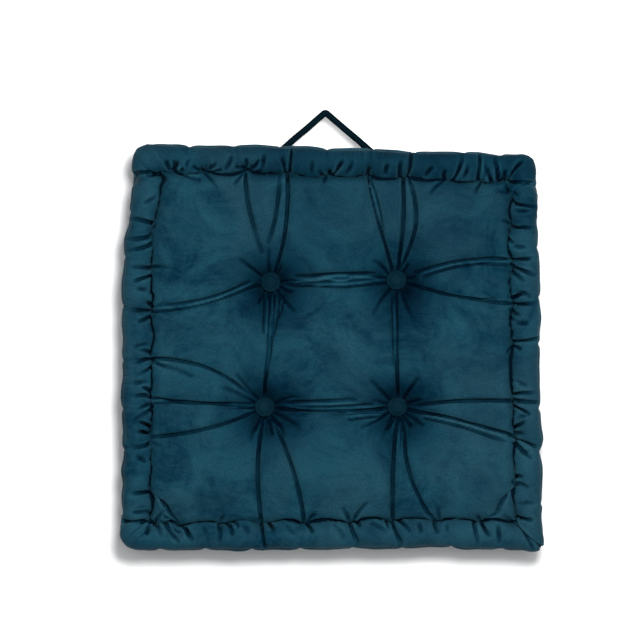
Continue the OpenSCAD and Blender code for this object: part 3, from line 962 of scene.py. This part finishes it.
def roll_filling(name, side, z):
    """A soft roll, drawn in wherever a stitch ties it down."""
    across = side in ("front", "back")
    half = (HALF_W - ROLL_R if across else HALF_D - ROLL_R - ROLL_FILLING_R * 2 - 1)
    along = np.linspace(-half, half, 121)
    out = (HALF_D if across else HALF_W) - ROLL_R
    out = -out if side in ("front", "left") else out
    fixed, height = np.full(along.shape, out), np.full(along.shape, z)
    line = np.stack([along, fixed, height] if across else [fixed, along, height], axis=-1)
    line = lie(line)
    radius = np.clip(room_around(line, 0 if across else 1) - ROLL_FILLING_GAP, 0.6, ROLL_FILLING_R)
    radius = radius * np.sqrt(np.clip((half - np.abs(along)) / 7, 0.0004, 1))
    return joined(name, [part(tube(line, radius, 16), closed_m=True)])


roll_fillings = {}
for face, z in (("top", EDGE_H - ROLL_R), ("bottom", ROLL_R)):
    for side in STITCHES:
        name = "{}_roll_filling_{}".format(face, side)
        roll_fillings[name] = roll_filling("soft_" + name, side, z)


# ---------- Threads ----------

TIE_R = 0.6                # radius of the threads that tie the rolls down
SEAM_R = 0.4               # and of those in the seams


def thread(points, radius, sides, count=None):
    """A length of thread through some points, or through count points along them, tapered shut at its ends."""
    points = np.asarray(points, float)
    if count:
        steps = lengths(points)
        points = places_at(points, steps, np.linspace(0, steps[-1], count))
    thickness = np.full(len(points), radius)
    thickness[[0, -1]] = 0.02
    return part(tube(points, thickness, sides), closed_m=True)


def stitch_rows(line, normals, pitch, gap, radius, lift=0.1):
    """Separate stitches along a line on the cloth, each diving back in at both ends."""
    steps = lengths(line)
    count = max(1, int(steps[-1] / pitch))
    pitch = steps[-1] / count
    parts = []
    for k in range(count):
        at = k * pitch + np.linspace(gap / 2, pitch - gap / 2, 6)
        spot, out = places_at(line, steps, at), unit(places_at(normals, steps, at))
        height = lift - np.array([2.2, 0.4, 0, 0, 0.4, 2.2]) * radius
        parts.append(thread(spot + out * height[:, None], radius, 5))
    return parts


def seam_thread(name, loop, middle_z):
    """The locked stitches that show along a seam."""
    out = loop - loop.mean(axis=0)
    out[:, 2] = (loop[:, 2] - middle_z) * 4
    return joined(name, stitch_rows(loop, unit(out), 3.4, 0.5, SEAM_R, -0.3))


top_seam = seam_thread("seam_thread_top", border(top_grid), EDGE_H / 2)
bottom_seam = seam_thread("seam_thread_bottom", border(bottom_grid), EDGE_H / 2)

corner_parts = []
quarter = len(top_grid) - 1
rows = boxing_grid.shape[1]
wall = slice(int(rows * 0.37), int(rows * 0.63) + 1)
for corner in range(4):
    line = boxing_grid[corner * quarter, wall]
    out = line * [1, 1, 0]
    corner_parts += stitch_rows(line, unit(out), 3.2, 0.6, SEAM_R, -0.1)
corner_seams = joined("corner_seam_stitches", corner_parts)


def edge_stitches(name, panel, outward):
    """The threads that tie the roll down: over the groove, through the roll's foot, out on the boxing."""
    last = boxing_grid.shape[1] - 1
    row = round(UNDER_AT / boxing_section()[0][-1] * last)
    row = row if outward > 0 else last - row
    column = boxing_grid[:, row]
    parts = []
    for side, places in STITCHES.items():
        axis = 0 if side in ("front", "back") else 1
        for place in places:
            pin = panel[grid_lines(len(panel), side, place)]
            inward = -unit(np.where(np.arange(3) == 1 - axis, pin, 0.0))
            foot = column[np.argmin(np.linalg.norm((column - pin)[:, :2], axis=1))]
            up = np.array([0, 0, float(outward)])
            parts.append(thread([
                pin + inward * 3.2 + up * 4.2, pin + inward * 1.6 + up * 1.9, pin + up * 0.7,
                pin - inward * 1.6 + up * 2.0, pin - inward * 2.4 + up * 4.4,
            ], TIE_R, 7, 16))
            parts.append(thread([pin + up * 0.4, (pin + foot) / 2, foot], TIE_R, 7, 12))
            run = np.where(np.arange(3) == axis, 2.4, 0.0)
            parts.append(thread([foot + inward * 2 - run, foot - inward * 0.3 - run * 0.7,
                                 foot - inward * 0.3 + run * 0.7, foot + inward * 2 + run], TIE_R, 7, 14))
    return joined(name, parts)


top_ties = edge_stitches("edge_stitches_top", top_grid, 1)
bottom_ties = edge_stitches("edge_stitches_bottom", bottom_grid, -1)


# ---------- Buttons ----------

# The cover's section: out from its middle, and up from the button's back
COVER = (
    (0.0, 8.0), (1.6, 7.96), (3.2, 7.8), (4.8, 7.45), (6.2, 6.85), (7.2, 6.15), (7.9, 5.8), (8.6, 5.75),
    (9.3, 5.35), (9.9, 4.4), (10.2, 3.2), (10.2, 2.2), (9.9, 1.4), (9.3, 0.7), (8.4, 0.25), (7.4, 0.05),
    (6.4, 0.05), (6.3, 0.5), (7.6, 0.65), (8.6, 0.9), (9.15, 1.6), (9.25, 2.6), (9.15, 3.4), (8.7, 4.3),
    (7.9, 5.2), (6.7, 5.7), (5.0, 6.6), (2.6, 7.1), (0.0, 7.2),
)


def button_cover(name, x, y, back_z, outward, rng):
    """Velvet drawn over the button's shell and gathered under its rim."""
    turn = np.linspace(0, math.tau, 72, endpoint=False)
    pleats = sum(np.cos(turn * k + rng.uniform(0, math.tau)) for k in (9, 13, 17, 22)) / 4
    dents = sum(np.cos(turn * k + rng.uniform(0, math.tau)) for k in (2, 3, 5)) / 3
    rings = []
    for r, h in COVER:
        rim = min(max((r - 5) / 5, 0), 1)
        gathered = rim * (0.3 + 0.7 * (h < 4.5)) * 0.3
        radius = r + pleats * gathered * (h < 7) + dents * 0.12 * rim
        height = h + pleats * 0.12 * rim + dents * 0.12 * (r / 10)
        rings.append(np.stack([
            x + radius * np.cos(turn), y + radius * np.sin(turn), back_z + outward * height,
        ], axis=-1))
    return joined(name, [part(np.array(rings), closed_m=True, flip=outward < 0)])


rng = np.random.default_rng(21)
covers = {}
for number, (x, y) in zip("1234", BUTTONS):
    for face, outward in (("top", 1), ("bottom", -1)):
        node = "{}_button_cover_{}".format(face, number)
        low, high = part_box(node)
        back_z = low[2] * MM if outward > 0 else high[2] * MM
        covers[node] = button_cover("velvet_" + node, x, y, back_z, outward, rng)


# ---------- Strap handle ----------

STRAP_T = 6.4              # its thickness, folded, and that of its tabs
TAB_T = 2.3
TAB_GAP = 0.15             # between a tab and the boxing's outermost plane
STRAP_HALF_W = 9.0
STITCH_ROW = 6.6           # from its middle to each row of stitching
LEG_SLOPE = 0.8654         # of its legs, seen from above
HANDLE_X = sum(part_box("handle_strap")[k][0] for k in (0, 1)) / 2 * MM
BOXING_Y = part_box("handle_end_left")[0][1] * MM
TAB_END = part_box("handle_end_right")[1][0] * MM - HANDLE_X
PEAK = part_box("handle_strap")[1][1] * MM - BOXING_Y + 2.0      # the fabric gives a little


def filleted(corners, radii):
    """A plan line through corners, each rounded by its radius."""
    corners = np.array(corners, float)
    line = [corners[0]]
    for k in range(1, len(corners) - 1):
        before, after = unit(corners[k - 1] - corners[k]), unit(corners[k + 1] - corners[k])
        half = math.acos(np.clip(before @ after, -1, 1)) / 2
        reach = radii[k - 1] / math.tan(half)
        start, end = corners[k] + before * reach, corners[k] + after * reach
        for t in np.linspace(0, 1, 9):
            line.append((1 - t) ** 2 * start + 2 * t * (1 - t) * corners[k] + t * t * end)
    line.append(corners[-1])
    return np.array(line)


def evenly(line, step):
    """A line's points again, each about a step from the next, and how far along they are."""
    steps = lengths(line)
    at = np.linspace(0, steps[-1], int(steps[-1] / step) + 1)
    return at, places_at(line, steps, at)


tab_y = TAB_T / 2 + TAB_GAP
peak_y = PEAK - STRAP_T / 2 - 0.1
foot_x = (peak_y + 0.9 - tab_y) / LEG_SLOPE
strap_at, strap_plan = evenly(filleted(
    [(-TAB_END, tab_y), (-foot_x, tab_y), (0, peak_y + 0.9), (foot_x, tab_y), (TAB_END, tab_y)], (7, 2.6, 7)), 0.8)
strap_run = unit(np.gradient(strap_plan, axis=0))
strap_side = np.stack([-strap_run[:, 1], strap_run[:, 0]], axis=-1)
on_leg = eased(foot_x + 2 - np.abs(strap_plan[:, 0]), 0, 9)
strap_t = TAB_T + (STRAP_T - TAB_T) * on_leg
strap_wave = ripples(strap_at, 0 * strap_at, 31, 34) * 0.25 * on_leg


def strap_places(k, side, z):
    """A point of the strap: its place along, how far to the side, and how far up its width."""
    plan = strap_plan[k] + strap_side[k] * (side + strap_wave[k])
    return np.array([HANDLE_X + plan[0], BOXING_Y + plan[1], EDGE_H / 2 + z])


def strap_section(thickness):
    """The folded band's section: rounded edges, and a dent along each row of stitching."""
    corner = min(thickness / 2, 1.6)
    flat = np.linspace(-(STRAP_HALF_W - corner), STRAP_HALF_W - corner, 25)
    dent = 0.32 * bell(np.abs(flat) - STITCH_ROW, 0.8) - 0.12 * np.cos(flat / STITCH_ROW * math.pi / 2)
    edge = np.radians(np.linspace(0, 180, 7)[1:-1])
    top = [(thickness / 2 * math.cos(t), STRAP_HALF_W - corner + corner * math.sin(t)) for t in edge]
    out = [(thickness / 2 - d, f) for f, d in zip(flat, dent)]
    back = [(-s, -f) for s, f in out]
    return out + top + back + [(-s, -f) for s, f in top]


rings = []
for k in range(len(strap_plan)):
    section = strap_section(strap_t[k])
    shrink = 0.0 if k in (0, len(strap_plan) - 1) else 1.0
    rings.append([strap_places(k, s * shrink, z * shrink) for s, z in section])
rings.insert(1, [strap_places(0, s, z) for s, z in strap_section(strap_t[0])])
rings.insert(-1, [strap_places(-1, s, z) for s, z in strap_section(strap_t[-1])])
strap = joined("velvet_strap", [part(np.array(rings), closed_m=True)])

lines = []
free = np.where(on_leg > 0.02)[0]
for sign in (-1, 1):
    for z in (-STITCH_ROW, STITCH_ROW):
        spots = np.array([strap_places(k, sign * (strap_t[k] / 2 - 0.25), z) for k in free])
        out = np.array([[*(strap_side[k] * sign), 0.0] for k in free])
        lines += stitch_rows(spots, out, 2.6, 0.5, 0.26, 0.05)
strap_stitches = joined("strap_topstitching", lines)


def box_stitching(name, sign):
    """A sewn rectangle with its diagonals, on the tab's outer face."""
    low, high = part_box("handle_stitching_left" if sign < 0 else "handle_stitching_right")
    x0, x1, z0, z1 = low[0] * MM, high[0] * MM, low[2] * MM, high[2] * MM
    y = BOXING_Y + tab_y + TAB_T / 2
    corners = [(x0, z0), (x1, z0), (x1, z1), (x0, z1), (x0, z0), (x1, z1)]
    parts = []
    for a, b in list(zip(corners, corners[1:])) + [((x1, z0), (x0, z1))]:
        line = np.array([(a[0] + (b[0] - a[0]) * t, y, a[1] + (b[1] - a[1]) * t) for t in np.linspace(0, 1, 12)])
        parts += stitch_rows(line, np.tile([0.0, 1.0, 0.0], (12, 1)), 2.4, 0.5, 0.32, 0.1)
    return joined(name, parts)


left_box, right_box = box_stitching("box_stitching_left", -1), box_stitching("box_stitching_right", 1)


# ---------- Materials ----------

class Shader:
    """A material's nodes, named and linked in short."""

    def __init__(self, name):
        self.material = bpy.data.materials.new(name)
        self.material.use_nodes = True
        self.tree = self.material.node_tree
        self.surface = self.tree.nodes["Principled BSDF"]
        self.places = self.tree.nodes.new("ShaderNodeTexCoord").outputs["Object"]

    def fill(self, node, inputs):
        """Sets a node's inputs to numbers or colours, or links other nodes to them."""
        for name, value in inputs.items():
            socket = node.inputs[name.replace("_", " ") if isinstance(name, str) else name]
            if isinstance(value, bpy.types.NodeSocket):
                self.tree.links.new(value, socket)
            elif socket.type == "RGBA":
                socket.default_value = (*value, 1)
            else:
                socket.default_value = value

    def set(self, **inputs):
        self.fill(self.surface, inputs)

    def node(self, kind, **inputs):
        node = self.tree.nodes.new("ShaderNode" + kind)
        self.fill(node, inputs)
        return node

    def stretched(self, scale, turn=(0, 0, 0)):
        """The object's places, scaled and turned."""
        return self.node("Mapping", Vector=self.places, Scale=scale, Rotation=turn).outputs["Vector"]

    def noise(self, scale, detail=3.0, rough=0.55, distortion=0.0, places=None):
        return self.node("TexNoise", Vector=places or self.places, Scale=scale, Detail=detail,
                         Roughness=rough, Distortion=distortion).outputs["Fac"]

    def bands(self, scale, distortion, places):
        return self.node("TexWave", Vector=places, Scale=scale, Distortion=distortion).outputs["Fac"]

    def ramp(self, value, *stops):
        """Colours, or shades of grey, along a value, each with its position."""
        node = self.node("ValToRGB", Fac=value)
        ramp = node.color_ramp
        while len(ramp.elements) < len(stops):
            ramp.elements.new(0.5)
        for element, (position, colour) in zip(ramp.elements, stops):
            element.position = position
            element.color = (*colour, 1) if isinstance(colour, tuple) else (colour, colour, colour, 1)
        return node.outputs["Color"]

    def mix(self, factor, a, b, blend="MIX"):
        node = self.node("Mix")
        node.data_type, node.blend_type = "RGBA", blend
        self.fill(node, {"Factor": factor, 6: a, 7: b})
        return node.outputs[2]

    def sum(self, a, b, operation="ADD"):
        node = self.node("Math")
        node.operation = operation
        self.fill(node, {0: a, 1: b})
        return node.outputs["Value"]

    def bump(self, height, distance, strength=1.0):
        self.set(Normal=self.node("Bump", Height=height, Distance=distance, Strength=strength).outputs["Normal"])

    def attribute(self, name):
        node = self.node("Attribute")
        node.attribute_name = name
        return node.outputs["Fac"]

    def facing(self, blend):
        return self.node("LayerWeight", Blend=blend).outputs["Facing"]


# How the painted light changes the velvet's colour, from painted shade in folds and hollows to painted highlight on
# ridges
PAINTED_LIGHT_TONES = ((0.0, (0.02, 0.09, 0.16)), (0.27, (0.28, 0.50, 0.58)), (0.5, (1.0, 1.0, 1.0)), (0.85, (2.0, 1.62, 1.52)))


def velvet(name, dark, light, worn_and_sheen, sheen, laid=False):
    """Short nap: brushed patches, a fine grain, a painted sheen where it is seen edge-on, and painted shade and
    highlight from its folds.
    """
    s = Shader(name)
    brushed = s.ramp(s.noise(16, 6, 0.7, 0.9), (0.38, dark), (0.60, light))
    brushed = s.mix(s.ramp(s.noise(7, 3, 0.6, 1.2), (0.44, 0.0), (0.66, 0.55)), brushed, worn_and_sheen)
    strokes = s.ramp(s.noise(38, 4, 0.6, 1.6, s.stretched((1, 2.4, 1), (0, 0, 0.5))), (0.42, 0.0), (0.72, 1.0))
    colour = s.mix(s.sum(strokes, 0.4, "MULTIPLY"), brushed, worn_and_sheen)
    grain = s.noise(900, 2, 0.7)
    colour = s.mix(0.55, colour, s.ramp(grain, (0.3, 0.45), (0.7, 1.5)), "MULTIPLY")
    # painted sheen: a paler colour mixed in where the velvet is seen edge-on
    colour = s.mix(s.ramp(s.facing(0.28), (0.35, 0.0), (1.0, 0.45)), colour, worn_and_sheen)
    # painted shade and highlight, multiplied in from the mesh's painted light values
    if laid:
        colour = s.mix(1.0, colour, s.ramp(s.attribute(PAINTED_LIGHT), *PAINTED_LIGHT_TONES), "MULTIPLY")
    s.set(Base_Color=colour, Roughness=0.6, Specular_IOR_Level=0.03, Specular_Tint=(0.25, 0.7, 1.0))
    s.set(Sheen_Weight=sheen, Sheen_Roughness=0.38, Sheen_Tint=(0.20, 0.50, 0.66))
    tufts = s.sum(s.noise(160, 3, 0.6), 1.6, "MULTIPLY")
    s.bump(s.sum(tufts, s.sum(grain, 0.9, "MULTIPLY")), 0.0006, 0.5)
    return s.material


def twisted(name, dark, light, pitch, roughness=0.5):
    """Twisted thread or twine."""
    s = Shader(name)
    strands = s.bands(pitch, 1.5, s.stretched((1, 1, 1), (0.6, 0.7, 0.75)))
    fuzz = s.noise(1400, 2, 0.6)
    s.set(Base_Color=s.mix(s.sum(s.sum(strands, 0.7, "MULTIPLY"), s.sum(fuzz, 0.3, "MULTIPLY")), dark, light))
    s.set(Roughness=roughness, Specular_IOR_Level=0.15)
    s.bump(s.sum(strands, fuzz), 0.0002, 0.6)
    return s.material


def fibre(name):
    """Matted fibre filling."""
    s = Shader(name)
    tufts = s.noise(60, 5, 0.7, 2.5)
    hairs = s.noise(700, 3, 0.7, 1.0, s.stretched((1, 0.25, 1), (0.3, 0.2, 0.9)))
    s.set(Base_Color=s.mix(s.sum(tufts, hairs, "MULTIPLY"), (0.62, 0.60, 0.55), (0.95, 0.94, 0.91)))
    s.set(Roughness=0.95, Sheen_Weight=0.3)
    s.bump(s.sum(tufts, s.sum(hairs, 0.4, "MULTIPLY")), 0.002, 0.8)
    return s.material


def tinplate(name, tone):
    """Pressed tinplate with drawn marks and a few dull spots."""
    s = Shader(name)
    drawn = s.noise(500, 3, 0.6, 0.0, s.stretched((1, 1, 14)))
    spots = s.noise(220, 4, 0.65)
    s.set(Base_Color=s.mix(s.ramp(spots, (0.45, 0.0), (0.7, 1.0)), tone, tuple(c * 0.62 for c in tone)))
    s.set(Metallic=1.0, Roughness=s.ramp(s.sum(drawn, spots, "MULTIPLY"), (0.1, 0.28), (0.5, 0.55)))
    s.bump(drawn, 0.0001, 0.4)
    return s.material


def painted_floor(name):
    """Pale paint, very slightly uneven."""
    s = Shader(name)
    s.set(Base_Color=s.ramp(s.noise(3, 3, 0.5), (0.3, 0.90), (0.7, 0.93)), Roughness=0.8)
    return s.material


LOOKS = {
    "velvet_panel": velvet("velvet_panel", (0.0006, 0.0130, 0.0255), (0.0056, 0.0335, 0.0510),
                           (0.0098, 0.0350, 0.0500), 0.03, laid=True),
    "velvet_boxing": velvet("velvet_boxing", (0.0005, 0.0120, 0.0235), (0.0050, 0.0305, 0.0465),
                            (0.0090, 0.0320, 0.0460), 0.03, laid=True),
    # painted shade: the buttons' velvet, a much darker copy of the panel's, for buttons sunk in shaded hollows
    "velvet_button": velvet("velvet_button", (0.0003, 0.0045, 0.0090), (0.0010, 0.0085, 0.0145),
                            (0.0024, 0.013, 0.020), 0.02),
    # painted shade: the strap's velvet, a far darker copy of the panel's, for its shaded edge
    "velvet_strap": velvet("velvet_strap", (0.0002, 0.0018, 0.0030), (0.0006, 0.0036, 0.0056),
                           (0.0012, 0.0055, 0.0080), 0.01),
    "seam_thread": twisted("seam_thread", (0.0010, 0.0075, 0.0130), (0.0026, 0.018, 0.028), 420),
    "handle_thread": twisted("handle_thread", (0.006, 0.036, 0.052), (0.016, 0.080, 0.108), 420),
    "tufting_twine": twisted("tufting_twine", (0.05, 0.07, 0.08), (0.16, 0.20, 0.22), 260, 0.6),
    "fibre_filling": fibre("fibre_filling"),
    "button_shell": tinplate("button_shell", (0.56, 0.57, 0.58)),
    "button_back": tinplate("button_back", (0.48, 0.49, 0.50)),
}


def wear(piece, slot):
    """Gives a piece or a CAD node the look of its slot."""
    piece.data.materials.clear()
    piece.data.materials.append(LOOKS[slot])


def dress(piece, slot, *nodes):
    """A visual piece: its finish and the nodes it stands for, which are hidden."""
    wear(piece, slot)
    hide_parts(*nodes)


SIDES = ("front", "right", "back", "left")
riding = [
    (velvet_top, "velvet_panel", ["top_panel"]),
    (velvet_bottom, "velvet_panel", ["bottom_panel"]),
    (velvet_boxing, "velvet_boxing", ["boxing_" + side for side in SIDES]),
    (filling_core, "fibre_filling", ["core_filling"]),
    (top_seam, "seam_thread", ["top_seam_thread"]),
    (bottom_seam, "seam_thread", ["bottom_seam_thread"]),
    (corner_seams, "seam_thread", ["corner_seam_threads"]),
    (top_ties, "seam_thread", ["top_edge_stitches"]),
    (bottom_ties, "seam_thread", ["bottom_edge_stitches"]),
    (left_box, "handle_thread", ["handle_stitching_left"]),
    (right_box, "handle_thread", ["handle_stitching_right"]),
]
riding += [(piece, "fibre_filling", [node]) for node, piece in roll_fillings.items()]
riding += [(piece, "velvet_button", [node]) for node, piece in covers.items()]
for piece, slot, nodes in riding:
    dress(piece, slot, *nodes)
    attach(piece, "cushion")

dress(strap, "velvet_strap", "handle_strap", "handle_end_left", "handle_end_right")
wear(strap_stitches, "handle_thread")
for piece in (strap, strap_stitches):
    x, y, z = HANDLE_X / MM, BOXING_Y / MM, EDGE_H / 2 / MM
    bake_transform(piece)

for name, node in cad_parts.items():
    for slot in ("button_shell", "button_back", "tufting_twine"):
        if slot in name:
            wear(node, slot)


# ---------- Stage ----------

floor = mesh_object("floor", np.array([[-4, -4, 0], [4, -4, 0], [4, 4, 0], [-4, 4, 0]]) * MM, [[0, 1, 2, 3]])
floor.data.materials.append(painted_floor("painted_floor"))


def soft_light(name, place, size, energy):
    """A round lamp that points at the origin."""
    light = bpy.data.lights.new(name, "AREA")
    light.shape = "DISK"
    light.size, light.energy = size, energy
    lamp = bpy.data.objects.new(name, light)
    bpy.context.scene.collection.objects.link(lamp)
    lamp.location = place
    x, y, z = place
    lamp.rotation_euler = (0, math.atan2(math.hypot(x, y), z), math.atan2(y, x))
    return lamp


soft_light("key", (0.15, 0.34, 1.9), 0.5, 55)
soft_light("overhead", (0.1, 0.2, 2.6), 1.6, 31)

world = bpy.data.worlds.new("studio")
bpy.context.scene.world = world
world.use_nodes = True
world.node_tree.nodes["Background"].inputs["Color"].default_value = (0.97, 0.98, 1.0, 1)
world.node_tree.nodes["Background"].inputs["Strength"].default_value = 0.22

CAMERA_AWAY = 6.0          # above the cushion, in metres
SENSOR = 36
IN_VIEW = 0.640            # how much of the top's plane the picture is wide
camera = bpy.data.objects.new("camera", bpy.data.cameras.new("camera"))
bpy.context.scene.collection.objects.link(camera)
camera.location = (-0.0125, 0.0285, EDGE_H / MM + CAMERA_AWAY)
camera.data.sensor_width = SENSOR
camera.data.lens = SENSOR * CAMERA_AWAY / IN_VIEW
bpy.context.scene.camera = camera
bpy.context.scene.view_settings.view_transform = "Standard"
